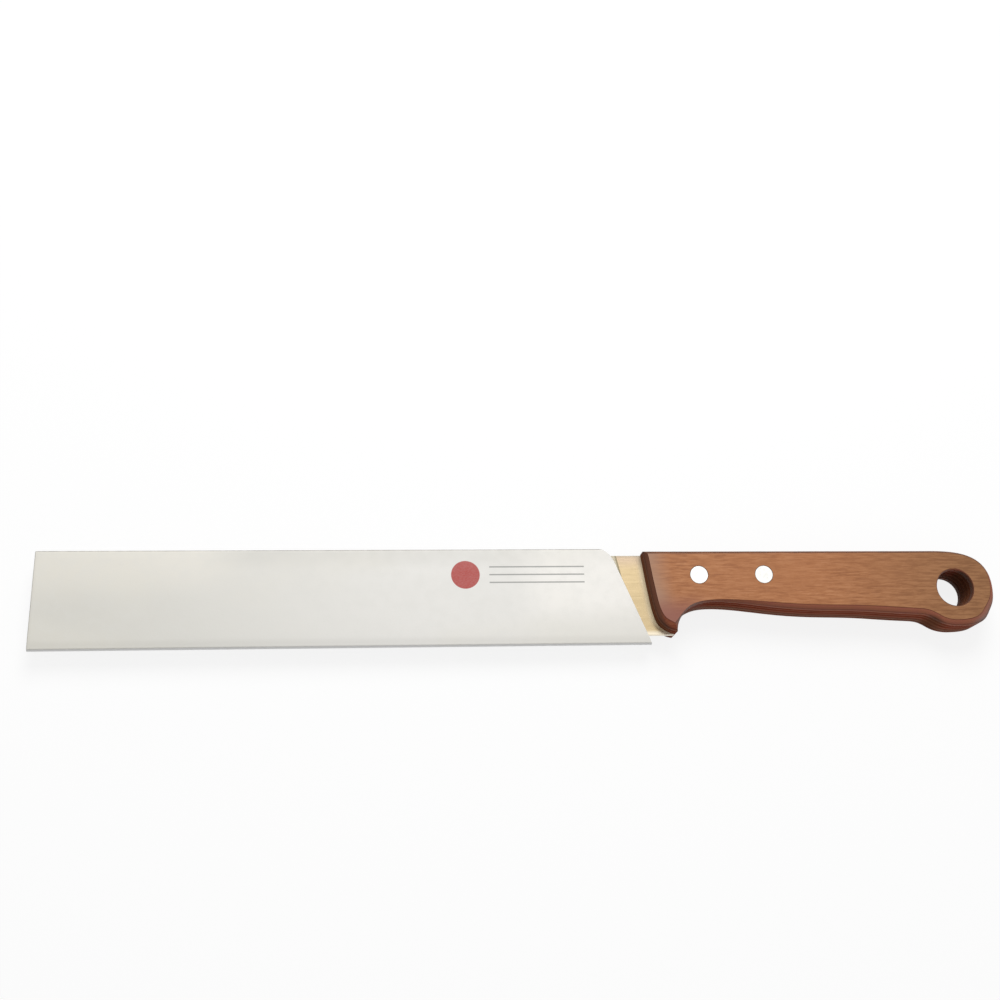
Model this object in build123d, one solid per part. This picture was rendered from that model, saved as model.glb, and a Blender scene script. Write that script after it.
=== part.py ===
from build123d import *
from math import cos, pi, sin
import os

# Carving knife with a laminated handle, lying flat in its folded card sleeve.
# Each piece is drawn in the blade's frame: X = 0 at the front of the handle and grows to the butt,
# Y = 0 along the spine with the cutting edge below it, Z = 0 on the middle plane of the steel.
# The last step moves that frame so that the origin lies under the middle of the whole object.

# Blade, mm
blade_length = 203.2
heel_depth = 28.6
stock = 1.8
tip_thickness = 1.0
edge_thickness = 0.12
bevel_height = 1.3
bevel_shoulder = 0.6
ricasso_length = 15.0
plunge_length = 6.0
edge_rise = 1.4
tip_drop = 4.2
tip_round = 0.5

# Tang, mm
heel_set_back = 10.1
tang_length = 52.0
tang_depth = 14.6
tang_throat_depth = 22.4
tang_throat_length = 8.0
tang_corner = 4.0

# Handle, mm
handle_length = 126.4
handle_depth = 27.2
face_veneer = 2.4
inner_veneer = 1.2
inner_count = 3
edge_round = 2.0
hole_diameter = 13.2
hole_from_butt = 14.5
hole_below_spine = 13.9
hole_ease = 0.5

# Compression rivets, mm
rivet_from_front = 19.2
rivet_from_tang_end = 9.5
rivet_below_spine = 8.7
rivet_head = 6.6
rivet_head_height = 1.2
rivet_tube = 4.2
rivet_pin = 2.7
rivet_break = 0.2
rivet_end_gap = 0.6

# Card sleeve, mm
card = 0.5
sleeve_play = 0.3
sleeve_reach = 208.6
tip_lean = 0.7
sleeve_above = 2.65
sleeve_below = 31.9
fold_round = 0.9
mouth_set_back = 11.1
mouth_lean = 13.7
mouth_round = 5.0
glue_flap = 9.0

# Run past a face so that a cut goes right through, mm
overrun = 2.0

# Levels through the thickness, from the middle plane out to the cheek
half_stock = stock / 2
cheek = half_stock + inner_count * inner_veneer + face_veneer
cavity = half_stock + sleeve_play
panel = cavity + card

# Outline of the handle, anticlockwise from the top of the front: how far back, how far down
# and how strongly the edge is rounded there, as shares of the length, the depth and the rounding
front_shares = [
    (0.0000, -0.0100, 0.60),
    (0.0025, 0.0900, 0.70),
    (0.0065, 0.2400, 0.72),
    (0.0110, 0.4000, 0.74),
    (0.0158, 0.5500, 0.76),
    (0.0210, 0.7000, 0.78),
    (0.0270, 0.8150, 0.86),
    (0.0345, 0.9050, 1.00),
    (0.0470, 0.9720, 1.12),
]
grip_shares = [
    (0.0830, 1.046, 0.95),
    (0.0940, 0.872, 0.30),
    (0.1200, 0.748, 0.25),
    (0.155, 0.682, 0.20),
    (0.205, 0.665, 0.25),
    (0.260, 0.683, 0.40),
    (0.320, 0.718, 0.60),
    (0.400, 0.762, 0.78),
    (0.500, 0.790, 0.86),
    (0.610, 0.805, 0.92),
    (0.700, 0.834, 0.98),
    (0.765, 0.852, 0.95),
    (0.802, 0.878, 0.90),
    (0.836, 0.963, 0.90),
    (0.868, 1.005, 0.92),
    (0.905, 1.008, 1.00),
    (0.940, 0.984, 1.15),
    (0.965, 0.925, 1.30),
    (0.982, 0.815, 1.25),
    (0.995, 0.695, 1.05),
    (1.000, 0.555, 0.85),
    (0.9985, 0.410, 0.70),
    (0.989, 0.268, 0.60),
    (0.969, 0.148, 0.55),
    (0.938, 0.064, 0.50),
    (0.893, 0.014, 0.50),
    (0.845, -0.0010, 0.50),
    (0.800, -0.0020, 0.50),
]

# Blade stations from the plunge to the point, and where the grind and the belly start
station_shares = [0.0, 0.15, 0.3, 0.45, 0.58, 0.7, 0.8, 0.88, 0.94, 0.98, 1.0]
grind_share = 0.24
belly_share = 0.55
belly_power = 2.2
drop_share = 0.7

# Steps round the edge of the cheek, from the flank to the face, and the turn it stops at, which
# leaves a crease along the face
round_steps = 3
round_turn = 0.31 * pi


def outline_points(inset):
    """Points round the handle's outline, moved in by a share of the local rounding."""
    ring = front_shares + grip_shares
    places = [Vector(x * handle_length, -y * handle_depth) for x, y, _ in ring]
    moved = []
    for i, place in enumerate(places):
        before = (place - places[i - 1]).normalized()
        after = (places[(i + 1) % len(places)] - place).normalized()
        inward_before = Vector(-before.Y, before.X)
        inward_after = Vector(-after.Y, after.X)
        mitre = (inward_before + inward_after) / (1 + inward_before.dot(inward_after))
        moved.append(place + mitre * (inset * ring[i][2] * edge_round))
    return moved


def curve_through(points, rim_points):
    """Smooth curve whose points keep the same spacing values as those of the outer rim."""
    spacing = [0]
    for start, end in zip(rim_points, rim_points[1:]):
        spacing.append(spacing[-1] + (end - start).length)
    return Edge.make_spline(points, parameters=[step / spacing[-1] for step in spacing])


def handle_outline(inset=0):
    """Flat face of the handle's outline: front, grip with notch and butt, and straight top."""
    rim = outline_points(0)
    points = outline_points(inset)
    tip = len(front_shares)
    front = curve_through(points[:tip + 1], rim[:tip + 1])
    grip = curve_through(points[tip:], rim[tip:])
    return make_face([front, grip, Edge.make_line(points[-1], points[0])])


def rod(place, radius, low, high):
    """Upright cylinder between two levels."""
    return Pos(place[0], place[1], low) * Cylinder(radius, high - low, align=(Align.CENTER, Align.CENTER, Align.MIN))


rivet_places = [(x, -rivet_below_spine) for x in (rivet_from_front, tang_length - rivet_from_tang_end)]
hole_place = (handle_length - hole_from_butt, -hole_below_spine)


def through_holes(low, high):
    """Hanging hole and the two rivet holes."""
    cut = rod(hole_place, hole_diameter / 2, low, high)
    for place in rivet_places:
        cut += rod(place, rivet_tube / 2, low, high)
    return cut


def inner_ply(low, high):
    """One flat veneer between two levels, cut to the outline and drilled."""
    ply = extrude(Pos(0, 0, low) * handle_outline(), high - low)
    return ply - through_holes(low - overrun, high + overrun)


def face_ply():
    """Outer veneer of the near side: flat flank, rounded edge, hole and seats for the rivet heads."""
    low = cheek - face_veneer
    shoulder = cheek - edge_round
    ply = extrude(Pos(0, 0, low) * handle_outline(), shoulder - low)
    rings = []
    for i in range(round_steps + 1):
        turn = round_turn * i / round_steps
        level = shoulder + edge_round * sin(turn) / sin(round_turn)
        rings.append(Pos(0, 0, level) * handle_outline((1 - cos(turn)) / (1 - cos(round_turn))))
    ply += loft(rings)
    for place in rivet_places:
        ply -= rod(place, rivet_head / 2, cheek - rivet_head_height, cheek + overrun)
    ply -= through_holes(low - overrun, cheek + overrun)
    rim = ply.edges().filter_by(GeomType.CIRCLE).group_by(Axis.Z)[-1]
    return fillet(rim.sort_by(Axis.X)[-1], hole_ease)


def far_side(piece):
    """The same piece on the far side of the steel."""
    return mirror(piece, about=Plane.XY)


def tang_face():
    """Half tang: in line with the spine, stepped up from the heel, rounded at its lower end."""
    outline = Polyline(
        (0, 0),
        (tang_length, 0),
        (tang_length, -tang_depth),
        (heel_set_back + tang_throat_length, -tang_depth),
        (heel_set_back, -tang_throat_depth),
        (heel_set_back, -heel_depth),
        (0, -heel_depth),
        close=True,
    )
    face = make_face(outline)
    ends = face.vertices().filter_by_position(Axis.X, heel_set_back + tang_throat_length / 2, tang_length)
    ends = ends.filter_by_position(Axis.Y, -heel_depth, -tang_depth / 2)
    return fillet(ends, tang_corner)


def tang():
    """Tang at full stock, drilled for the rivets."""
    plate = extrude(tang_face(), half_stock, both=True)
    for place in rivet_places:
        plate -= rod(place, rivet_tube / 2, -cheek, cheek)
    return plate


def tang_slot():
    """Slot in the core veneer: the tang's own shape, open along the handle's top."""
    above = Pos(tang_length / 2, overrun / 2) * Rectangle(tang_length, overrun)
    return extrude(tang_face() + above, half_stock, both=True)


def blade_section(x, spine, edge, back, shoulder, grind):
    """Six-sided section across the blade: flat back, ground flank and cutting bevel."""
    bevel = min(bevel_height, (spine - edge) / 3)
    grind_top = spine - grind * (spine - edge - bevel)
    half_edge = edge_thickness / 2
    points = [
        (spine, back / 2),
        (grind_top, back / 2),
        (edge + bevel, shoulder / 2),
        (edge, half_edge),
        (edge, -half_edge),
        (edge + bevel, -shoulder / 2),
        (grind_top, -back / 2),
        (spine, -back / 2),
    ]
    return Plane.YZ.offset(x) * make_face(Polyline(*points, close=True))


def ground_section(share):
    """Section of the ground blade at a share of the way from the plunge to the point."""
    start = -ricasso_length - plunge_length
    x = start + share * (-blade_length - start)
    drop = max(0, share - drop_share) / (1 - drop_share)
    belly = max(0, share - belly_share) / (1 - belly_share)
    spine = -tip_drop * drop ** 2
    straight = -heel_depth + edge_rise * share
    edge = straight + (-tip_drop - tip_round - straight) * belly ** belly_power
    back = stock + (tip_thickness - stock) * share
    return blade_section(x, spine, edge, back, bevel_shoulder, grind_share)


def blade():
    """Stamped blade and half tang in one piece."""
    body = loft([ground_section(share) for share in station_shares])
    full = [blade_section(x, 0, -heel_depth, stock, stock, grind_share) for x in (-ricasso_length, heel_set_back)]
    plunge = loft([full[0], ground_section(0)], ruled=True)
    return body + plunge + loft(full, ruled=True) + tang()


def rivet_half(place, core):
    """Head seated in the near cheek, with its shank reaching to the far head's seat."""
    reach = -(cheek - rivet_head_height)
    head = rod(place, rivet_head / 2, cheek - rivet_head_height, cheek)
    head = chamfer(head.faces().sort_by(Axis.Z)[-1].edges(), rivet_break)
    if core:
        return head + rod(place, rivet_pin / 2, reach + rivet_head_height, cheek - rivet_head_height)
    tube = rod(place, rivet_tube / 2, reach, cheek - rivet_head_height)
    return head + tube - rod(place, rivet_pin / 2, reach - overrun, cheek - rivet_head_height - rivet_end_gap)


def sleeve_outline():
    """Side view of the card: nearly square tip end, leaning mouth with a rounded upper corner."""
    corners = [
        (-sleeve_reach + tip_lean, sleeve_above),
        (-mouth_set_back, sleeve_above),
        (-mouth_set_back + mouth_lean, -sleeve_below),
        (-sleeve_reach, -sleeve_below),
    ]
    face = make_face(Polyline(*corners, close=True))
    upper = face.vertices().sort_by(Axis.Y)[-2:].sort_by(Axis.X)[-1]
    return fillet(upper, mouth_round)


def sleeve():
    """Card folded round the blade: two panels, folds along both edges, glued flap, closed tip end."""
    height = sleeve_above + sleeve_below
    middle = (sleeve_above - sleeve_below) / 2
    length = sleeve_reach + mouth_lean
    start = Plane.YZ.offset(-sleeve_reach)
    outer = extrude(start * Pos(middle, 0) * RectangleRounded(height, 2 * panel, fold_round), length)
    hollow = RectangleRounded(height - 2 * card, 2 * cavity, fold_round - card)
    inner = extrude(Plane.YZ.offset(-sleeve_reach + tip_lean + card) * Pos(middle, 0) * hollow, length)
    flap_middle = -sleeve_below + fold_round + glue_flap / 2
    flap = extrude(start * Pos(flap_middle, -panel) * SlotOverall(glue_flap, 2 * card), length)
    return (outer + flap - inner) & extrude(sleeve_outline(), 2 * panel, both=True)


def all_pieces():
    """Every piece by name, in the blade's frame."""
    pieces = {"blade": blade()}
    pieces["core_veneer"] = inner_ply(-half_stock, half_stock) - tang_slot()
    for i in range(inner_count):
        low = half_stock + i * inner_veneer
        ply = inner_ply(low, low + inner_veneer)
        pieces[f"near_veneer_{i + 1}"] = ply
        pieces[f"far_veneer_{i + 1}"] = far_side(ply)
    pieces["near_face_veneer"] = face_ply()
    pieces["far_face_veneer"] = far_side(pieces["near_face_veneer"])
    for name, place in zip(("front", "rear"), rivet_places):
        pieces[f"{name}_rivet_tube"] = rivet_half(place, core=False)
        pieces[f"{name}_rivet_pin"] = far_side(rivet_half(place, core=True))
    pieces["card_sleeve"] = sleeve()
    return pieces


middle_x = (handle_length - sleeve_reach) / 2
middle_y = (sleeve_above - sleeve_below) / 2
placing = Pos(-middle_x, -middle_y, cheek)

os.makedirs("parts", exist_ok=True)
for name, piece in all_pieces().items():
    export_step(placing * piece, f"parts/{name}.step")
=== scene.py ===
# %% [markdown]
# # A carving knife in its card sleeve
# The real object is a flat ground blade between nine bonded veneers, held by two compression rivets,
# with a folded card sleeve pushed over the steel. The construction model already has every piece,
# so this lesson loads it as a fixed frame, finishes each piece, and makes again only what a stiff
# solid can't show: the card, which is bowed and creased.

# %% Load the frame
from collections import namedtuple
from math import cos, radians, sin

import bmesh
import bpy
import numpy as np
from mathutils import Matrix, Vector


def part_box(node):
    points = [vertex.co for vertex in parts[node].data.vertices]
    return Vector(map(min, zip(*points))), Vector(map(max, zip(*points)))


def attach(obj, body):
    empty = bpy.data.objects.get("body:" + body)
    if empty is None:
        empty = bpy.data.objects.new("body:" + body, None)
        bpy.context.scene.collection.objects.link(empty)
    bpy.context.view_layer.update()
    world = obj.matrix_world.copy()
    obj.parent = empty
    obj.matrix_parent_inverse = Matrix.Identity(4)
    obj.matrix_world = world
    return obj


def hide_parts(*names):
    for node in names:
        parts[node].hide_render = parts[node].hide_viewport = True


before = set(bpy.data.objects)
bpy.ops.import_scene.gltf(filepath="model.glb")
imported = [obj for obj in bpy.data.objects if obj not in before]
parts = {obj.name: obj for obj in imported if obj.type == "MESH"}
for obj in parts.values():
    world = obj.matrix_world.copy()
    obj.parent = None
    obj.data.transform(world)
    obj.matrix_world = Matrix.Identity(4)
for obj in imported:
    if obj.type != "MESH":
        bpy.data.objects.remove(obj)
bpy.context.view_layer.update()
print("pieces from the frame:", ", ".join(sorted(parts)))


def add_object(name, data):
    """A new object for some data, linked to the scene."""
    made = bpy.data.objects.new(name, data)
    bpy.context.scene.collection.objects.link(made)
    return made

# %% [markdown]
# ## The viewpoint
# A camera is a place, three directions and a lens. It could be aimed by hand, but four corners of the
# sleeve and the outline of the grip are enough to work the view out, so the angles are written here
# and the matrix is built from them. The view leans a little from the tip's side and from below.

# %% Camera
lean_to_tip = radians(6.66)
lean_to_edge = radians(18.607)
roll = radians(-2.11)
eye = Vector((-0.06264, -0.12293, 0.4751))

backward = Vector((
    -sin(lean_to_tip) * cos(lean_to_edge),
    -sin(lean_to_edge),
    cos(lean_to_tip) * cos(lean_to_edge),
))
level_right = Vector((0, 1, 0)).cross(backward).normalized()
level_up = backward.cross(level_right)
right = cos(roll) * level_right + sin(roll) * level_up
up = cos(roll) * level_up - sin(roll) * level_right

view = add_object("camera", bpy.data.cameras.new("camera"))
view.matrix_world = Matrix.Translation(eye) @ Matrix((right, up, backward)).transposed().to_4x4()
view.data.sensor_width = 36.0
view.data.lens = 50.35
view.data.clip_start = 0.01
bpy.context.scene.camera = view
print("camera at", [round(v, 4) for v in eye], "lens", view.data.lens)

# %% [markdown]
# ## Small helpers for materials
# A material is a graph of nodes. Written out node by node it grows long and hides the idea, so short
# helpers do the repeated work: they make a node, do a sum, fade from one level to another, mix
# colours and lay a row of tones over each other. Colours are written as they look on a screen and
# turned into the linear numbers that a shader needs.
#
# A fade is written as two levels, then the share below the first and the share above the second.
# Where the shares are left out they are 0 and 1. Lengths are metres.

# %% Node helpers
def tone(code):
    """A screen colour as linear light.

    A channel c below 0.04045 becomes c / 12.92, and any other ((c + 0.055) / 1.055) ^ 2.4.
    """
    screen = np.array([int(code[i:i + 2], 16) for i in (0, 2, 4)]) / 255
    linear = np.where(screen <= 0.04045, screen / 12.92, ((screen + 0.055) / 1.055) ** 2.4)
    return (*linear.tolist(), 1.0)


def tones(codes):
    """Several screen colours, written in one string with spaces between them."""
    return [tone(code) for code in codes.split()]


def node(tree, kind, inputs=None, **settings):
    """One node: settings are its own options, and inputs hold plain values or another node's output."""
    made = tree.nodes.new(kind)
    for name, value in settings.items():
        setattr(made, name, value)
    for name, value in (inputs or {}).items():
        if isinstance(value, bpy.types.NodeSocket):
            tree.links.new(value, made.inputs[name])
        else:
            made.inputs[name].default_value = value
    return made


def calc(tree, operation, first, second=0.0, third=0.0):
    """One sum of up to three values or outputs."""
    return node(tree, "ShaderNodeMath", {0: first, 1: second, 2: third}, operation=operation).outputs[0]


def times(tree, first, *others):
    """The product of shares: it is 1 only where every one of them is."""
    for other in others:
        first = calc(tree, "MULTIPLY", first, other)
    return first


def distance(tree, first, second):
    """How far one value is from another, without its sign."""
    return calc(tree, "ABSOLUTE", calc(tree, "SUBTRACT", first, second))


def fade(tree, value, low, high, start=0.0, end=1.0):
    """A smooth step: start below low, end above high, with the cubic 3t^2 - 2t^3 between them."""
    inputs = {0: value, 1: low, 2: high, 3: start, 4: end}
    return node(tree, "ShaderNodeMapRange", inputs, interpolation_type="SMOOTHSTEP").outputs[0]


def blend(tree, share, first, second):
    """Two colours mixed by a share: 0 is all of the first, and 1 is all of the second."""
    return node(tree, "ShaderNodeMix", {0: share, 6: first, 7: second}, data_type="RGBA").outputs[2]


def paint(tree, colour, *layers):
    """Lays tones over a colour one after another. Each layer is a share and a tone."""
    for share, over in layers:
        colour = blend(tree, share, colour, over)
    return colour


def cloud(tree, place, spread, detail, roughness):
    """Soft noise whose marks are 1 / spread metres long along each axis."""
    stretched = node(tree, "ShaderNodeMapping", {"Vector": place, "Scale": spread}).outputs[0]
    inputs = {"Vector": stretched, "Scale": 1.0, "Detail": detail, "Roughness": roughness}
    return node(tree, "ShaderNodeTexNoise", inputs).outputs[0]


def axes(tree, vector):
    """The x, y and z of a vector, as three outputs."""
    return node(tree, "ShaderNodeSeparateXYZ", {0: vector}).outputs


def facing_axes(tree):
    """The x, y and z of the direction in which the surface faces."""
    return axes(tree, node(tree, "ShaderNodeTexCoord").outputs["Normal"])


def start_material(name):
    """An empty graph with its shader and the object's own coordinates in metres."""
    material = bpy.data.materials.new(name)
    material.use_nodes = True
    tree = material.node_tree
    shader = tree.nodes["Principled BSDF"]
    place = node(tree, "ShaderNodeTexCoord").outputs["Object"]
    return material, tree, shader, place


def bump(tree, shader, height, depth, strength):
    """A height map worn as relief: depth is what a height of 1 stands for, in metres."""
    made = node(tree, "ShaderNodeBump", {"Height": height, "Distance": depth, "Strength": strength})
    tree.links.new(made.outputs[0], shader.inputs["Normal"])


def finish_with(material, *names):
    """Puts one material on pieces of the frame."""
    for name in names:
        parts[name].data.materials.clear()
        parts[name].data.materials.append(material)
    print(material.name, "on", len(names), "pieces:", ", ".join(names))

# %% [markdown]
# ## The grip's front edge
# Painted light follows the grip's leaning, rounded front: a rosy painted sheen on the wood just behind it,
# and just before it a pale painted tone on the steel that hides the grip's dark reflection and shade
# there. A mask painted by hand could follow it, but the veneers in the frame already hold that line, so it
# is read from one of them and fitted with a short polynomial, which a handful of nodes can work out at
# every point.

# %% The front edge as a polynomial
grip_low, grip_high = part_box("near_veneer_1")
centimetres = 100.0
margin_below = 0.0002
margin_above = 0.0004
least_rise = 1e-9


def front_terms(name="near_veneer_1", levels=30, degree=5):
    """The terms of x = a5 u^5 + ... + a0, the foremost point of a veneer at height u in centimetres.

    Each mesh edge that crosses a level gives one x, by straight interpolation between its ends. The
    least of them is the front, and least squares fits the polynomial to all the levels.
    """
    mesh = parts[name].data
    points = np.empty(len(mesh.vertices) * 3)
    mesh.vertices.foreach_get("co", points)
    points = points.reshape(-1, 3)
    ends = np.empty(len(mesh.edges) * 2, int)
    mesh.edges.foreach_get("vertices", ends)
    first, last = points[ends[0::2]], points[ends[1::2]]
    heights = np.linspace(grip_low[1] + margin_below, grip_high[1] - margin_above, levels)[:, None]
    rise = last[:, 1] - first[:, 1]
    share = (heights - first[:, 1]) / np.where(np.abs(rise) < least_rise, np.nan, rise)
    crossing = first[:, 0] + share * (last[:, 0] - first[:, 0])
    front = np.where((share >= 0) & (share <= 1), crossing, np.inf).min(axis=1)
    terms = np.polyfit(heights[:, 0] * centimetres, front, degree)
    off = np.abs(np.polyval(terms, heights[:, 0] * centimetres) - front).max()
    print("front edge fitted within", round(off * 1000, 2), "mm")
    return terms.tolist()


grip_front = front_terms()


def behind_front(tree, place):
    """How far a point lies behind the grip's front edge.

    The polynomial is nested by Horner's rule, (a5 u + a4) u + ..., with one node for each step.
    """
    x, y = axes(tree, place)[:2]
    height = times(tree, y, centimetres)
    front = grip_front[0]
    for term in grip_front[1:]:
        front = calc(tree, "MULTIPLY_ADD", front, height, term)
    return calc(tree, "SUBTRACT", x, front)

# %% [markdown]
# ## Bonded veneer
# The grip is thin birch veneers soaked in dyed resin and pressed into a block, then shaped and
# buffed. Three things make it read as wood: long streaks along the grain, short dark pores, and the
# slow change in how the dye took. Cut across, the veneers show as stripes with a thin glue line
# between them. A picture could carry all this, but worked out from the object's own coordinates it
# runs on unbroken from the cheek over the rounded edge.

# %% Where the glue lines are
middle_level = 0.0069
core_half = 0.0009
ply = 0.0012
glue_width = (0.00005, 0.00016, 1.0, 0.0)


def glue_line(tree, place):
    """1 on a glue line and 0 away from it.

    The height above the core's face, folded back and forth over half a ply, is 0 on every line.
    """
    out = calc(tree, "SUBTRACT", distance(tree, axes(tree, place)[2], middle_level), core_half)
    return fade(tree, calc(tree, "PINGPONG", out, ply / 2), *glue_width)

# %% The grain: marks in a metre along x, y and z, then detail and roughness of the noise
streak_noise = ((155, 1400, 1400), 6.0, 0.70)
band_noise = ((22, 400, 400), 3.0, 0.5)
pore_noise = ((380, 3600, 3600), 3.0, 0.6)
patch_noise = ((24, 75, 75), 2.0, 0.5)
ripple_noise = ((320, 420, 420), 3.0, 0.6)

streak_to_middle = (0.38, 0.51)
streak_to_light = (0.50, 0.63)
band_share = (0.48, 0.66, 0.0, 0.25)
patch_share = (0.42, 0.64, 0.0, 0.5)
ripple_share = (0.44, 0.70, 0.0, 0.30)
pore_edges = (0.58, 0.70)
pore_share = 0.42

# %% Painted sheen, a greyer lobe and painted shade, by their place on the grip
# painted sheen just behind the grip's front edge, broken into patches
front_sheen_reach = (0.0005, 0.0095, 0.85, 0.0)
front_sheen_patches = (0.30, 0.60, 0.75, 1.0)
lobe_below = (-0.0090, 0.0005, 0.9, 0.0)
lobe_before = (0.055, 0.068, 1.0, 0.0)
lobe_tone = tone("936054")
# painted sheen along the rounded top edge by the spine
spine_sheen_reach = (grip_high[1] - 0.0018, grip_high[1] - 0.0003, 0.0, 0.6)
spine_sheen_tone = tone("9F7770")
# painted shade: the grip goes darker and greyer towards the butt, where the lamp's light falls off
butt_shade_reach = (0.095, 0.165, 0.0, 0.92)
butt_streaks = (0.38, 0.62)

# %% Edges, by the way the surface faces
off_cheek = (0.930, 0.995, 1.0, 0.0)
front_to_rear = (0.056, 0.092)
# painted shade: a darker crown tone where the surface faces the spine, the side nearest the lamp
faces_up = (0.05, 0.45)
side_streaks = (0.36, 0.64, 0.0, 0.45)
faces_front = (0.18, 0.55)
faces_butt = (0.03, 0.35)
faces_down = (-0.60, 0.0, 1.0, 0.0)
# painted highlight on the rounded shoulder below the butt
shoulder_highlight_reach = (0.08, 0.55, 0.25, 0.9)
shoulder_highlight_tone = tone("917A73")
glue_share = 0.55
glue_tone = tone("2C120B")

# %% The wood's surface
patch_weight = 0.6
rough_levels = (0.5, 1.1)
rough_range = 0.16
side_rough = 0.22
streak_relief = 0.35
grain_depth = 0.000018
grain_strength = 0.55
resin_bend = 1.50

# %% A function for every wood finish
# A finish holds dye tones together with painted light and shade.
DyeAndPaintedLight = namedtuple("DyeAndPaintedLight", "tones side crown across rosy aged least_rough")


def wood(name, dye, gloss, shift):
    """Streaks, pores, fine ripple and slow dye patches between the three tones of a dye.

    Where the surface turns away from the cheek it takes the side tones, darker in front than under the
    fingers; on the cheek itself these are painted shade on its rounded edge. Where it faces the spine, the
    side nearest the lamp, it takes the darker crown tone, which is painted shade, and where it is cut
    across the grain the across tone, because open grain drinks more of the finish. The cheek has a rosy
    painted sheen just behind its front edge and a greyer painted sheen along the spine, and it is greyer
    in the lobe. Towards the butt it goes over to two darker, greyer tones, painted shade where the lamp's
    light falls off, and the rounded shoulder below the end has a painted highlight. Gloss is how much the
    finish mirrors, and shift moves the grain so that no two finishes are alike.
    """
    dark, middle, light = dye.tones
    material, tree, shader, place = start_material(name)
    moved = {"Vector": place, "Location": (shift, shift / 3, shift / 5)}
    moved = node(tree, "ShaderNodeMapping", moved).outputs[0]
    streaks = cloud(tree, moved, *streak_noise)
    bands = cloud(tree, moved, *band_noise)
    pores = fade(tree, cloud(tree, moved, *pore_noise), *pore_edges)
    patches = cloud(tree, moved, *patch_noise)
    ripple = cloud(tree, moved, *ripple_noise)

    along, upwards = axes(tree, place)[:2]
    front = fade(tree, behind_front(tree, place), *front_sheen_reach)
    front = times(tree, front, fade(tree, patches, *front_sheen_patches))
    lobe = times(tree, fade(tree, upwards, *lobe_below), fade(tree, along, *lobe_before))
    butt_shade_tone = blend(tree, fade(tree, streaks, *butt_streaks), *dye.aged)
    colour = paint(
        tree,
        dark,
        (fade(tree, streaks, *streak_to_middle), middle),
        (fade(tree, streaks, *streak_to_light), light),
        (fade(tree, bands, *band_share), dark),
        (fade(tree, patches, *patch_share), middle),
        (fade(tree, ripple, *ripple_share), light),
        (times(tree, pores, pore_share), dark),
        # painted sheen behind the front edge
        (front, dye.rosy),
        (lobe, lobe_tone),
        # painted sheen along the spine
        (fade(tree, upwards, *spine_sheen_reach), spine_sheen_tone),
        # painted shade towards the butt
        (fade(tree, along, *butt_shade_reach), butt_shade_tone),
    )

    facing_x, facing_y, facing_z = facing_axes(tree)
    flatness = calc(tree, "ABSOLUTE", facing_z)
    turned = fade(tree, flatness, *off_cheek)
    # On the cheek the side tones are painted shade on its rounded edge; the crown tone is painted shade.
    side = paint(
        tree,
        blend(tree, fade(tree, along, *front_to_rear), *dye.side),
        # painted shade on the side facing the spine
        (fade(tree, facing_y, *faces_up), dye.crown),
        (fade(tree, streaks, *side_streaks), dark),
    )
    cut = calc(tree, "MAXIMUM", times(tree, facing_x, -1.0), 0.0)
    low_end = times(tree, fade(tree, facing_x, *faces_butt), fade(tree, facing_y, *faces_down))
    shoulder_highlight = times(tree, turned, fade(tree, flatness, *shoulder_highlight_reach))
    glue = times(tree, glue_line(tree, place), times(tree, turned, glue_share))
    colour = paint(
        tree,
        colour,
        (turned, side),
        (fade(tree, cut, *faces_front), dye.across),
        # painted highlight on the butt's lower shoulder
        (times(tree, shoulder_highlight, low_end), shoulder_highlight_tone),
        (glue, glue_tone),
    )
    tree.links.new(colour, shader.inputs["Base Color"])

    rough = calc(tree, "ADD", streaks, times(tree, patches, patch_weight))
    rough = fade(tree, rough, *rough_levels, dye.least_rough, dye.least_rough + rough_range)
    rough = calc(tree, "ADD", rough, times(tree, turned, side_rough))
    tree.links.new(rough, shader.inputs["Roughness"])
    shader.inputs["IOR"].default_value = resin_bend
    shader.inputs["Specular IOR Level"].default_value = gloss
    height = calc(tree, "SUBTRACT", times(tree, streaks, streak_relief), pores)
    bump(tree, shader, height, grain_depth, grain_strength)
    return material

# %% The dyes of the cheeks, the dark veneers and the light veneers
# Besides dye, each holds painted light: the crown tone is painted shade on the spine-facing side, the rosy
# tone a painted sheen, and the two aged tones painted shade towards the butt. On the cheek the side tones
# are painted shade on its rounded edge.
cheek_dye = DyeAndPaintedLight(
    tones=tones("9C6543 AE744D BB825B"),
    side=tones("793B29 9A5A48"),
    crown=tone("553A2C"),
    across=tone("5C3726"),
    rosy=tone("A98874"),
    aged=tones("835B3D 9D714E"),
    least_rough=0.34,
)
dark_dye = DyeAndPaintedLight(
    tones=tones("42140B 541C10 642A1B"),
    side=tones("7C2E13 8A3C20"),
    crown=tone("5A2414"),
    across=tone("673B27"),
    rosy=tone("5C2416"),
    aged=tones("4A180D 572014"),
    least_rough=0.46,
)
light_dye = DyeAndPaintedLight(
    tones=tones("6E3826 834632 955740"),
    side=tones("8F4E38 9A5C48"),
    crown=tone("825240"),
    across=tone("70462F"),
    rosy=tone("773E2B"),
    aged=tones("6C3A29 7C4834"),
    least_rough=0.46,
)

# %% The far veneers' paler side is a painted reflection of the pale table
far_dark_dye_and_sheen = dark_dye._replace(side=tones("84503A 84503A"))
far_light_dye_and_sheen = light_dye._replace(side=tones("9A705E 9A705E"))

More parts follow.
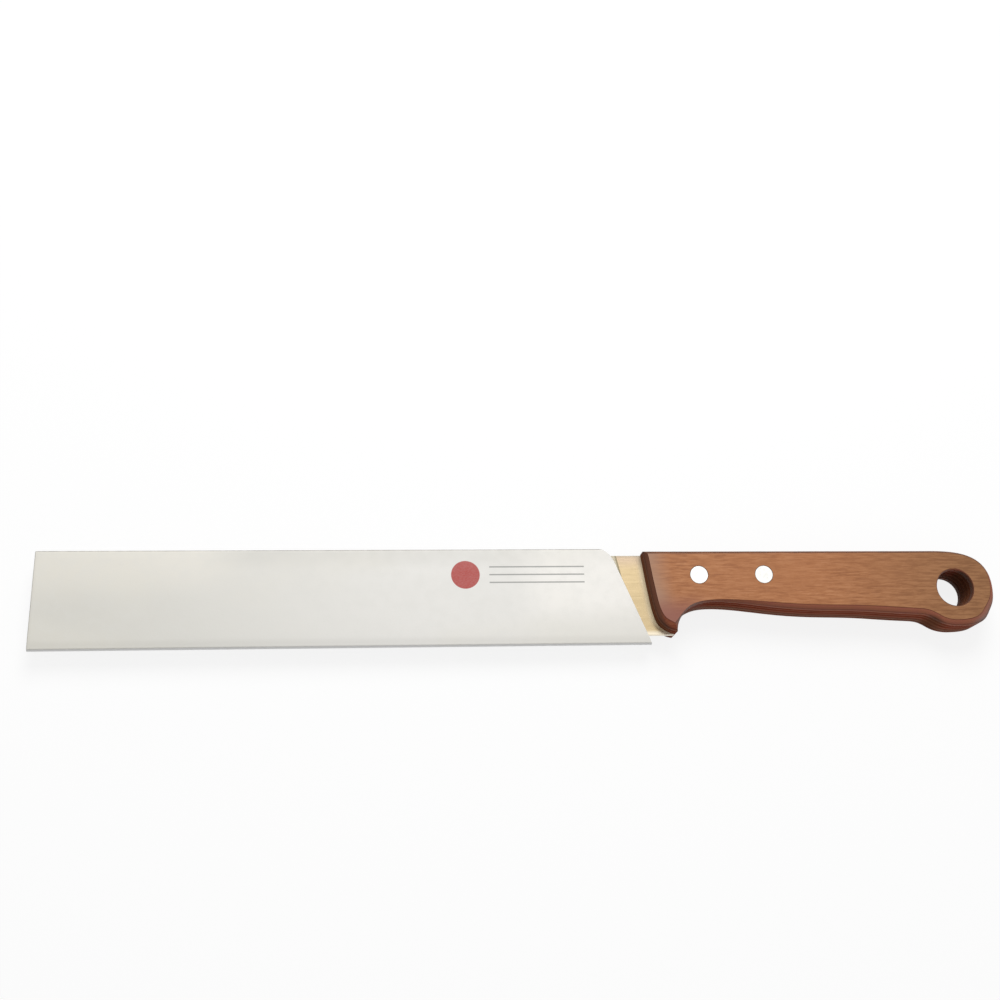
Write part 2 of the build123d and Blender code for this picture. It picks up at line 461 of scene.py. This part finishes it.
# %% Each finish: its name, dye, gloss and shift, and the pieces it goes on
wood_finishes = (
    ("cheek_wood", cheek_dye, 0.16, 0.0, ("near_face_veneer",)),
    ("far_cheek_wood", cheek_dye, 0.16, 0.37, ("far_face_veneer",)),
    ("dark_veneer_wood", dark_dye, 0.02, 0.11, ("near_veneer_1", "near_veneer_3")),
    ("light_veneer_wood", light_dye, 0.03, 0.23, ("near_veneer_2", "core_veneer")),
    ("far_dark_wood_and_sheen", far_dark_dye_and_sheen, 0.05, 0.31, ("far_veneer_1", "far_veneer_3")),
    ("far_light_wood_and_sheen", far_light_dye_and_sheen, 0.06, 0.43, ("far_veneer_2",)),
)
for name, dye, gloss, shift, pieces in wood_finishes:
    finish_with(wood(name, dye, gloss, shift), *pieces)

# %% [markdown]
# ## Steel
# The blade is ground and then brushed along its length, so its scratches are long, fine and shallow, and a
# reflection smears across them. Scratches could be modelled as grooves; a height map finer than a hair
# does it better and costs nothing. Where the card doesn't reach, the steel's straw tint is a painted
# reflection of warm surroundings; under the card it stays grey.

# %% Tones, painted light and painted shade on the steel, by their place
steel_low, steel_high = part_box("blade")
spine_level = steel_high[1]
edge_drop = steel_high[1] - steel_low[1]

mouth_top = 0.0295
mouth_slope = 0.385
# the painted shadow of the card's lifted corner: a thin line and a dull greenish strip
shadow_line_top = 0.0321
shadow_line_slope = 0.209

under_card = (-0.012, -0.002, 0.85, 0.0)
# painted light: pale beside the lower half of the card's mouth, against the shade there
painted_light_past_mouth = (0.0002, 0.0018, 0.7, 0.0)
painted_light_below_spine = (0.0085, 0.0140)
# painted light before the grip, hiding its dark reflection and shade; its rim is a painted highlight
grip_light_reach = (-0.0030, -0.0002)
grip_highlight_rim = (-0.0018, -0.0006, 0.0, 0.75)
# darker within six millimetres of the spine
darker_near_spine = (0.0006, 0.0060, 0.7, 0.0)
spine_grey = (0.0002, 0.0009, 0.6, 0.0)
# painted highlight along the edge, where a ground bevel would catch the light
bevel_highlight = (edge_drop - 0.0019, edge_drop - 0.0005, 0.0, 0.7)
shadow_above = (0.0060, 0.0125, 1.0, 0.0)
shadow_before_line = (-0.0001, 0.0001, 0.85, 0.0)
shadow_beyond_card = (-0.0060, -0.0035)
shadow_line_width = (0.00012, 0.00042, 0.85, 0.0)


def grip_painted_light(tree, place):
    """1 against the grip and 0 from 3 mm before it on: where a pale painted tone hides the grip's dark
    reflection and shade on the steel.
    """
    return fade(tree, behind_front(tree, place), *grip_light_reach)


def past_line(tree, x, below, top, slope):
    """How far a point is past a leaning line x = top + slope * below, which starts at the spine."""
    return calc(tree, "SUBTRACT", x, calc(tree, "MULTIPLY_ADD", below, slope, top))


def steel_tones_and_painted_light(tree, place, colour):
    """Tones over the steel: grey under the card, and painted light and shade where it is bare.

    Two leaning lines start at the spine. The first is where the card's mouth lies: under the card the
    steel stays grey, and beside the mouth its lower half is painted pale against the shade there. The
    second is a thin painted shadow line of the card's lifted corner, which dies out halfway down the
    blade, and between it and the card the steel is painted dull and greenish as the rest of that shadow.
    The steel is darker within six millimetres of the spine and grey at the spine itself, a painted
    highlight brightens the ground bevel along the edge, and just before the grip a pale painted tone hides
    the grip's dark reflection and shade on the steel, palest at its rim.
    """
    x, y = axes(tree, place)[:2]
    below = calc(tree, "SUBTRACT", spine_level, y)
    past_mouth = past_line(tree, x, below, mouth_top, mouth_slope)
    past_shadow_line = past_line(tree, x, below, shadow_line_top, shadow_line_slope)
    painted_shading = times(tree, fade(tree, past_mouth, *painted_light_past_mouth), fade(tree, below, *painted_light_below_spine))
    upper = fade(tree, below, *shadow_above)
    shadow_strip = times(
        tree,
        fade(tree, past_shadow_line, *shadow_before_line),
        fade(tree, past_shadow_line, *shadow_beyond_card),
        upper,
    )
    shadow_line = times(tree, fade(tree, calc(tree, "ABSOLUTE", past_shadow_line), *shadow_line_width), upper)
    return paint(
        tree,
        colour,
        (fade(tree, past_mouth, *under_card), tone("B4B3AF")),
        # painted light beside the mouth's lower half
        (painted_shading, tone("F0E3D2")),
        # painted light before the grip, and a painted highlight at its rim
        (grip_painted_light(tree, place), tone("DEC8A2")),
        (fade(tree, behind_front(tree, place), *grip_highlight_rim), tone("FFEFC8")),
        (fade(tree, below, *darker_near_spine), tone("BCA794")),
        (fade(tree, below, *spine_grey), tone("A39A8A")),
        # painted highlight along the edge bevel
        (fade(tree, below, *bevel_highlight), tone("FBF1DC")),
        # painted shadow of the card's lifted corner
        (shadow_strip, tone("ACA694")),
        (shadow_line, tone("80765C")),
    )

# %% Brushed blade
scratch_noise = ((120, 5200, 5200), 6.0, 0.7)
smear_noise = ((55, 160, 160), 3.0, 0.5)
scratch_share = (0.35, 0.70)
smear_share = (0.40, 0.70, 0.0, 0.20)
smear_weight = 0.25
steel_rough = (0.45, 0.85, 0.20, 0.27)
bare_metallic = 0.85
grip_metallic_loss = -0.70
scratch_depth = 0.000006
scratch_strength = 0.3


def brushed_steel(name, base, scratched):
    """A metal whose scratches are a stretched noise in height, tone and roughness.

    Where the pale painted tone lies before the grip, most of the metallic share is taken away, so that the
    grip's dark reflection doesn't show there.
    """
    material, tree, shader, place = start_material(name)
    scratches = cloud(tree, place, *scratch_noise)
    smears = cloud(tree, place, *smear_noise)
    colour = paint(
        tree,
        base,
        (fade(tree, scratches, *scratch_share), scratched),
        (fade(tree, smears, *smear_share), base),
    )
    tree.links.new(steel_tones_and_painted_light(tree, place, colour), shader.inputs["Base Color"])
    rough = calc(tree, "MULTIPLY_ADD", smears, smear_weight, scratches)
    tree.links.new(fade(tree, rough, *steel_rough), shader.inputs["Roughness"])
    metallic = calc(tree, "MULTIPLY_ADD", grip_painted_light(tree, place), grip_metallic_loss, bare_metallic)
    tree.links.new(metallic, shader.inputs["Metallic"])
    bump(tree, shader, scratches, scratch_depth, scratch_strength)
    return material


# The straw base and scratch tones are a painted reflection of warm surroundings; the steel itself is grey.
finish_with(brushed_steel("brushed_blade_steel", tone("C9B38B"), tone("D3BD95")), "blade")

# %% [markdown]
# ## Rivets
# Each rivet is a tube and a pin pressed together from the two sides, then linished flush. The disc
# left on the cheek is bright, with faint rings from the wheel, so its relief is a wave of the
# distance from the rivet's own axis.

# %% Bright rivet heads
ring_radians = 39000.0
wear_noise = ((900, 900, 900), 4.0, 0.6)
rim_reach = (0.00295, 0.0033)
rim_share = 0.35
wear_share = (0.55, 0.75, 0.0, 0.25)
rivet_rough = (0.3, 0.7, 0.16, 0.27)
ring_depth = 0.000002
ring_strength = 0.6


def ringed_steel(name, axis_at):
    """Height is a cosine of the distance from the axis, one ring every 0.16 mm, softened by noise."""
    material, tree, shader, place = start_material(name)
    low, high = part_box(axis_at)
    centre = ((low[0] + high[0]) / 2, (low[1] + high[1]) / 2, 0.0)
    offset = node(tree, "ShaderNodeVectorMath", {0: place, 1: centre}, operation="SUBTRACT").outputs[0]
    level = {0: offset, 1: (1.0, 1.0, 0.0)}
    level = node(tree, "ShaderNodeVectorMath", level, operation="MULTIPLY").outputs[0]
    away = node(tree, "ShaderNodeVectorMath", {0: level}, operation="LENGTH").outputs[1]
    rings = calc(tree, "COSINE", times(tree, away, ring_radians))
    wear = cloud(tree, place, *wear_noise)
    colour = paint(
        tree,
        tone("F7F6F2"),
        (times(tree, fade(tree, away, *rim_reach), rim_share), tone("B9B5AE")),
        (fade(tree, wear, *wear_share), tone("DAD8D2")),
    )
    tree.links.new(colour, shader.inputs["Base Color"])
    tree.links.new(fade(tree, wear, *rivet_rough), shader.inputs["Roughness"])
    shader.inputs["Metallic"].default_value = 1.0
    bump(tree, shader, calc(tree, "ADD", rings, wear), ring_depth, ring_strength)
    print(name, "centred at", [round(c * 1000, 2) for c in centre[:2]], "mm")
    return material


finish_with(ringed_steel("front_rivet_steel", "front_rivet_tube"), "front_rivet_tube", "front_rivet_pin")
finish_with(ringed_steel("rear_rivet_steel", "rear_rivet_tube"), "rear_rivet_tube", "rear_rivet_pin")

# %% [markdown]
# ## Coated card
# The sleeve is white coated board about half a millimetre thick. Close up it isn't white all over: the
# coating is mottled and the fibres swell it here and there. Painted shade greys it towards the closed end,
# along a band by the spine and on the creases, and painted light brightens the mouth's upper corner, the
# upper half of the closed end and the fold underneath. The near panel carries a plain printed mark, a dot
# and three thin rules. The mark could be a decal, but as a mask over the card's own colour it can't float.

# %% Printed mark as a mask
dot_centre = (-0.0212, 0.0078)
dot_radius = 0.0050
dot_blur = 0.00012
rule_left = -0.0128
rule_right = 0.0205
rule_blur = 0.0001
rule_levels = (0.0106, 0.0078, 0.0050)
rule_half = 0.00024
rule_soft = 0.3


def printed_dot(tree, x, y):
    """1 inside the dot: the distance from its centre, with a soft rim as wide as the blur."""
    across = calc(tree, "POWER", calc(tree, "SUBTRACT", x, dot_centre[0]), 2.0)
    upward = calc(tree, "POWER", calc(tree, "SUBTRACT", y, dot_centre[1]), 2.0)
    away = calc(tree, "SQRT", calc(tree, "ADD", across, upward))
    return fade(tree, away, dot_radius - dot_blur, dot_radius + dot_blur, 1.0, 0.0)


def printed_rules(tree, x, y):
    """1 on the rules: the largest of three masks of height, times one mask for both ends."""
    centre = (rule_left + rule_right) / 2
    reach = (rule_right - rule_left) / 2
    ends = fade(tree, distance(tree, x, centre), reach, reach + rule_blur, 1.0, 0.0)
    rim = (rule_half * (1 - rule_soft), rule_half * (1 + rule_soft), 1.0, 0.0)
    found = 0.0
    for level in rule_levels:
        found = calc(tree, "MAXIMUM", found, fade(tree, distance(tree, y, level), *rim))
    return times(tree, found, ends)

# %% The card's noise and where its tones lie
mottle_noise = ((260, 260, 260), 5.0, 0.6)
fibre_noise = ((1500, 2600, 1500), 4.0, 0.65)
slow_noise = ((14, 30, 30), 2.0, 0.5)

# painted shade: greyer towards the closed end, where the lamp's light falls off
closed_end_shade = (-0.17, -0.02)
# painted highlight in the upper corner by the mouth
corner_light_along = (-0.008, 0.012)
corner_light_up = (-0.0125, -0.0010)
# painted highlight in the upper half of the closed end
end_highlight_along = (-0.115, -0.092, 1.0, 0.0)
end_highlight_up = (-0.0030, 0.0120, 0.0, 0.45)
slow_share = (0.42, 0.68, 0.0, 0.40)
mottle_share = (0.40, 0.70, 0.0, 0.22)
fibre_share = (0.56, 0.74, 0.0, 0.22)
# painted shade along the spine, where the bowed panel tilts towards the lamp
spine_shade_from = (-0.115, -0.092)
spine_shade_to = (-0.010, 0.010, 1.0, 0.65)
spine_shade_up = (0.0085, 0.0172, 0.0, 0.45)

# painted shade on the creases, except where they face down
crease_starts = (0.70, 0.98, 1.0, 0.0)
crease_ends = (0.12, 0.40, 0.10, 1.0)
crease_mottle = (0.30, 0.60, 0.7, 1.0)
crease_above = (-0.30, 0.30, 0.06, 1.0)
# painted light: the fold underneath is made white against its shade
underside_painted_light = (-0.90, -0.50, 0.8, 0.0)

near_side = (0.4, 0.6)
ink_wear = (0.30, 0.72, 1.0, 0.92)
card_rough = (0.3, 0.7, 0.42, 0.56)
coating_bend = 1.46
coating_share = 0.10
coating_rough = 0.35
slow_relief = 6.0
fibre_relief = 0.5
card_relief = 0.00003
card_strength = 0.8

# %% Card finish
def card_finish(name, printed):
    """White board with mottle and fibre, with painted shade greying it towards the closed end and
    darkening it where it turns at a crease, except where the crease faces down.

    A painted highlight makes it brightest in the upper corner by the mouth and paler in the upper half of
    the closed end, and painted shade dulls a band along the spine from there on. The fold underneath is
    painted the whitest, against its shade.
    """
    material, tree, shader, place = start_material(name)
    x, y = axes(tree, place)[:2]
    mottle = cloud(tree, place, *mottle_noise)
    fibre = cloud(tree, place, *fibre_noise)
    slow = cloud(tree, place, *slow_noise)
    facing_y, facing_z = facing_axes(tree)[1:]
    flatness = calc(tree, "ABSOLUTE", facing_z)
    painted_shading = times(tree, fade(tree, x, *spine_shade_from), fade(tree, x, *spine_shade_to), fade(tree, y, *spine_shade_up))
    crease_shade = times(
        tree,
        fade(tree, flatness, *crease_starts),
        fade(tree, flatness, *crease_ends),
        fade(tree, mottle, *crease_mottle),
        fade(tree, facing_y, *crease_above),
    )
    # Painted shade: greyer towards the closed end, a band along the spine and the creases. Painted light:
    # the mouth's upper corner, the closed end's upper half and the fold underneath.
    colour = paint(
        tree,
        tone("D8D6CE"),
        (fade(tree, x, *closed_end_shade), tone("E7E5E0")),
        (times(tree, fade(tree, x, *corner_light_along), fade(tree, y, *corner_light_up)), tone("F4F1EB")),
        (times(tree, fade(tree, x, *end_highlight_along), fade(tree, y, *end_highlight_up)), tone("F1ECE1")),
        (fade(tree, slow, *slow_share), tone("E6E2D6")),
        (fade(tree, mottle, *mottle_share), tone("E0DFD9")),
        (fade(tree, fibre, *fibre_share), tone("D9D5CB")),
        (painted_shading, tone("C8C6BF")),
        (crease_shade, tone("8A867D")),
        (fade(tree, facing_y, *underside_painted_light), tone("FFFFFF")),
    )
    if printed:
        ink = times(tree, fade(tree, facing_z, *near_side), fade(tree, fibre, *ink_wear))
        colour = paint(
            tree,
            colour,
            (times(tree, printed_dot(tree, x, y), ink), tone("A8372F")),
            (times(tree, printed_rules(tree, x, y), ink), tone("9C9C98")),
        )
    tree.links.new(colour, shader.inputs["Base Color"])
    tree.links.new(fade(tree, mottle, *card_rough), shader.inputs["Roughness"])
    shader.inputs["IOR"].default_value = coating_bend
    shader.inputs["Coat Weight"].default_value = coating_share
    shader.inputs["Coat Roughness"].default_value = coating_rough
    fine = calc(tree, "ADD", mottle, times(tree, fibre, fibre_relief))
    bump(tree, shader, calc(tree, "ADD", times(tree, slow, slow_relief), fine), card_relief, card_strength)
    return material


card_white = card_finish("coated_card", printed=True)
flap_white = card_finish("card_flap", printed=False)

# %% [markdown]
# ## The folded sleeve
# One strip of card is creased along the spine and the edge, wrapped round the blade and glued on the
# far side. Folded card never lies dead flat: each panel is held thin at its creases and bows in the
# middle, and it opens a little towards the mouth. So the skin is one surface of two parameters, s
# round the section and t from the closed end to the mouth, and Solidify then gives it the board's
# thickness on the inside.

# %% Sizes of the sleeve
card_low, card_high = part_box("card_sleeve")
board = 0.0005
top_y, bottom_y = card_high[1], card_low[1]
half_height = (top_y - bottom_y) / 2
half_thick = card_high[2] - middle_level
mouth_bottom = card_high[0] - 0.0005
mouth_round = 0.0050
mouth_round_length = 0.75
end_lean = 0.0007

bow_power = 6
pinch = 0.00028
end_swell = 0.00018
mouth_swell = 0.00010
ripple_height = 0.00005
ripple_waves = ((3.1, 60), (7.3, 150))
near_drop = 0.0002

end_shares = (0, 0, 0.0008, 0.002)
end_closing = (0.0, 0.80, 0.95, 1.0)
first_ring, last_ring, ring_count = 0.006, 0.999, 150
mouth_shares = (0.9998, 1.0)

card_size = [round((h - l) * 1000, 2) for l, h in zip(card_low, card_high)]
print("sleeve", card_size, "mm, half thickness", round(half_thick * 1000, 2))

# %% Section and length as arrays
def section(points_on_panel=61, points_on_fold=12, crease=0.0007):
    """One loop round the sleeve as (y, z, bow): flat runs joined by elliptic folds.

    On a panel y is reach * sin a, which crowds the points near the creases, and z is the half
    thickness. On a fold the point is (crease * sin a, half * cos a) with a from 0 to half a turn, so
    the fold is half an ellipse. Bow is 1 in the middle of a panel and falls to 0 at its creases.
    """
    reach = half_height - crease
    run = np.sin(np.linspace(-np.pi / 2, np.pi / 2, points_on_panel)) * reach
    turn = np.linspace(0, np.pi, points_on_fold + 2)[1:-1]
    y = np.concatenate([run, reach + crease * np.sin(turn), run[::-1], -reach - crease * np.sin(turn)])
    z = np.concatenate([np.ones_like(run), np.cos(turn), -np.ones_like(run), -np.cos(turn)])
    bow = 1 - np.clip(np.abs(y) / half_height, 0, 1) ** bow_power
    return y + (top_y + bottom_y) / 2, z, bow


def mouth_line(y):
    """Where the mouth is cut at height y: a straight leaning line with a rounded upper corner.

    The corner is a quarter of an ellipse, as high as its radius and three quarters of that long.
    """
    share = (top_y - y) / (top_y - bottom_y)
    straight = mouth_top + (mouth_bottom - mouth_top) * share
    into = np.clip(1 - (top_y - y) / mouth_round, 0, 1)
    return straight - mouth_round * (1 - np.sqrt(1 - into ** 2)) * mouth_round_length


def end_line(y):
    """Where the closed end is cut at height y: nearly square, and furthest out at the lower crease."""
    return card_low[0] + end_lean * (y - bottom_y) / (top_y - bottom_y)


def sleeve_skin():
    """The sleeve as a grid of points: x runs from the closed end to the mouth line.

    The half thickness is half(t, s) = pinched + bow * swell, with swell growing towards the mouth,
    less a ripple of two slow waves a few hundredths of a millimetre high. Below the blade's edge,
    where nothing holds the panels apart, the near one drops by a smooth step. The first rings close
    the end to a line, and the last lie close together so that the shading stays flat up to the cut.
    """
    y, side, bow = section()
    shares = np.concatenate([end_shares, np.linspace(first_ring, last_ring, ring_count), mouth_shares])
    closing = np.concatenate([end_closing, np.ones(ring_count + len(mouth_shares))])
    t = shares[:, None]
    x = end_line(y)[None, :] + t * (mouth_line(y) - end_line(y))[None, :]
    swell = end_swell + mouth_swell * t ** 2
    waves = 0.5
    for turns, slant in ripple_waves:
        waves = waves + 0.25 * np.sin(2 * np.pi * turns * t + slant * y[None, :])
    half = half_thick - pinch + bow[None, :] * swell - bow[None, :] * ripple_height * waves * (1 - t)
    half = np.minimum(half, half_thick)
    free = np.clip(1 - (y - bottom_y) / (steel_low[1] - bottom_y), 0, 1)
    drop = near_drop * free ** 2 * (3 - 2 * free) * (side > 0)
    z = middle_level + side[None, :] * (half - drop[None, :]) * closing[:, None]
    return np.stack([x, np.broadcast_to(y, x.shape), z], axis=-1)

# %% From a grid to a mesh
def wrapped_mesh(name, grid, close_ends=False):
    """A grid whose second direction is a closed loop, with a face over each end where they are closed.

    Each quad joins a point to the next place on its ring and to the same two places on the next ring.
    """
    rings, around = grid.shape[:2]
    index = np.arange(rings * around).reshape(rings, around)
    beside = np.roll(index, -1, axis=1)
    quads = np.stack([index[:-1], beside[:-1], beside[1:], index[1:]], axis=-1).reshape(-1, 4)
    faces = quads.tolist()
    if close_ends:
        faces += [index[0][::-1].tolist(), index[-1].tolist()]
    mesh = bpy.data.meshes.new(name)
    mesh.from_pydata(grid.reshape(-1, 3), [], faces)
    mesh.update()
    return add_object(name, mesh)


def tidy_mesh(piece, apart=0.00002):
    """Merges doubled points, turns every face outwards and shades it smooth."""
    shape = bmesh.new()
    shape.from_mesh(piece.data)
    bmesh.ops.remove_doubles(shape, verts=shape.verts, dist=apart)
    bmesh.ops.recalc_face_normals(shape, faces=shape.faces)
    shape.to_mesh(piece.data)
    shape.free()
    piece.data.polygons.foreach_set("use_smooth", np.ones(len(piece.data.polygons), bool))
    piece.data.update()
    print(piece.name, len(piece.data.vertices), "points", len(piece.data.polygons), "faces")

# %% The sleeve itself
sleeve = wrapped_mesh("folded_card_sleeve", sleeve_skin())
tidy_mesh(sleeve)
thickness = sleeve.modifiers.new("board", "SOLIDIFY")
thickness.thickness = board
thickness.offset = -1.0
thickness.use_even_offset = True
sleeve.data.materials.append(card_white)
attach(sleeve, "sleeve")
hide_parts("card_sleeve")

# %% [markdown]
# ## The glued flap
# The strip is longer than once round, and its last nine millimetres are glued over the far panel next
# to the lower crease. Its section is a low rounded bar, carried along the sleeve and cut at the mouth
# along the same leaning line.

# %% Glue flap
flap_width = 0.0090
flap_inset = 0.0012
flap_short = 0.0006
flap_depth = (board + 0.0002) / 2
flap_points = 72
flap_rings = 60


def flap_grid():
    """A flattened superellipse, |u|^6 + |v|^2 = 1, carried along x.

    Its width lies along y from the lower crease upwards, and its depth stands out of the far panel.
    """
    turn = np.linspace(0, 2 * np.pi, flap_points, endpoint=False)
    u = np.sign(np.cos(turn)) * np.abs(np.cos(turn)) ** (1 / 3)
    v = np.sin(turn)
    y = bottom_y + flap_inset + flap_width / 2 + u * flap_width / 2
    z = card_low[2] + flap_depth + v * flap_depth
    t = np.linspace(0, 1, flap_rings)[:, None]
    start = card_low[0] + flap_inset
    x = start + t * (mouth_line(y)[None, :] - flap_short - start)
    return np.stack([x, np.broadcast_to(y, x.shape), np.broadcast_to(z, x.shape)], axis=-1)


flap = wrapped_mesh("glued_card_flap", flap_grid(), close_ends=True)
tidy_mesh(flap)
flap.data.materials.append(flap_white)
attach(flap, "sleeve")

# %% [markdown]
# ## Table and light
# The knife lies on a plain pale table under one large soft lamp, with white light from all round.
# To the camera and in reflections the table and the world are white; for the light that they throw
# back they are a plain grey, so the steel gleams while the wood keeps its depth.

# %% Pale table
table_half = 3.0
table_level = -0.0002
table_noise = ((60, 60, 60), 3.0, 0.55)
table_mottle = (0.3, 0.7)
table_glow = 0.85
white = tone("FFFFFF")

table_mesh = bpy.data.meshes.new("table")
corners = np.array([(-1, -1), (1, -1), (1, 1), (-1, 1)]) * table_half
table_mesh.from_pydata(np.column_stack([corners, np.full(4, table_level)]), [], [(0, 1, 2, 3)])
table = add_object("table", table_mesh)


def seen_directly(tree):
    """1 for rays that a viewer, a mirror or a clear material sees, and 0 for scattered light."""
    ray = node(tree, "ShaderNodeLightPath").outputs
    seen = calc(tree, "MAXIMUM", ray["Is Camera Ray"], ray["Is Glossy Ray"])
    return calc(tree, "MAXIMUM", seen, ray["Is Transmission Ray"])


def table_finish():
    """Pale grey for scattered light, and mostly its own white for the rays that see it.

    The rest of what those rays see is the real shading, so that the knife's shadow still shows.
    """
    material = bpy.data.materials.new("pale_table")
    material.use_nodes = True
    tree = material.node_tree
    tree.nodes.remove(tree.nodes["Principled BSDF"])
    place = node(tree, "ShaderNodeTexCoord").outputs["Object"]
    grain = fade(tree, cloud(tree, place, *table_noise), *table_mottle)
    seen = seen_directly(tree)
    colour = paint(tree, tone("E6E6E6"), (grain, tone("EAEAEA")), (seen, white))
    matt = node(tree, "ShaderNodeBsdfDiffuse", {"Color": colour}).outputs[0]
    glow = node(tree, "ShaderNodeEmission", {"Color": white, "Strength": 1.0}).outputs[0]
    shares = {0: times(tree, seen, table_glow), 1: matt, 2: glow}
    mixed = node(tree, "ShaderNodeMixShader", shares).outputs[0]
    tree.links.new(mixed, tree.nodes["Material Output"].inputs["Surface"])
    return material


table_mesh.materials.append(table_finish())

# %% World and lamp
fill_level = 0.38
world = bpy.data.worlds.new("studio")
world.use_nodes = True
bpy.context.scene.world = world
sky = world.node_tree
backdrop = sky.nodes["Background"]
backdrop.inputs["Color"].default_value = white
strength = fade(sky, seen_directly(sky), 0.0, 1.0, fill_level, 1.0)
sky.links.new(strength, backdrop.inputs["Strength"])

lamp_aim = Vector((0.02, 0.0, 0.0))
lamp = add_object("soft_lamp", bpy.data.lights.new("soft_lamp", "AREA"))
lamp.data.shape = "DISK"
lamp.data.size = 0.50
lamp.data.energy = 5.0
lamp.location = (0.02, 0.50, 0.62)
lamp.rotation_euler = (Vector(lamp.location) - lamp_aim).to_track_quat("Z", "Y").to_euler()
bpy.context.scene.view_settings.view_transform = "Standard"
print("lamp", lamp.data.energy, "W, fill", fill_level)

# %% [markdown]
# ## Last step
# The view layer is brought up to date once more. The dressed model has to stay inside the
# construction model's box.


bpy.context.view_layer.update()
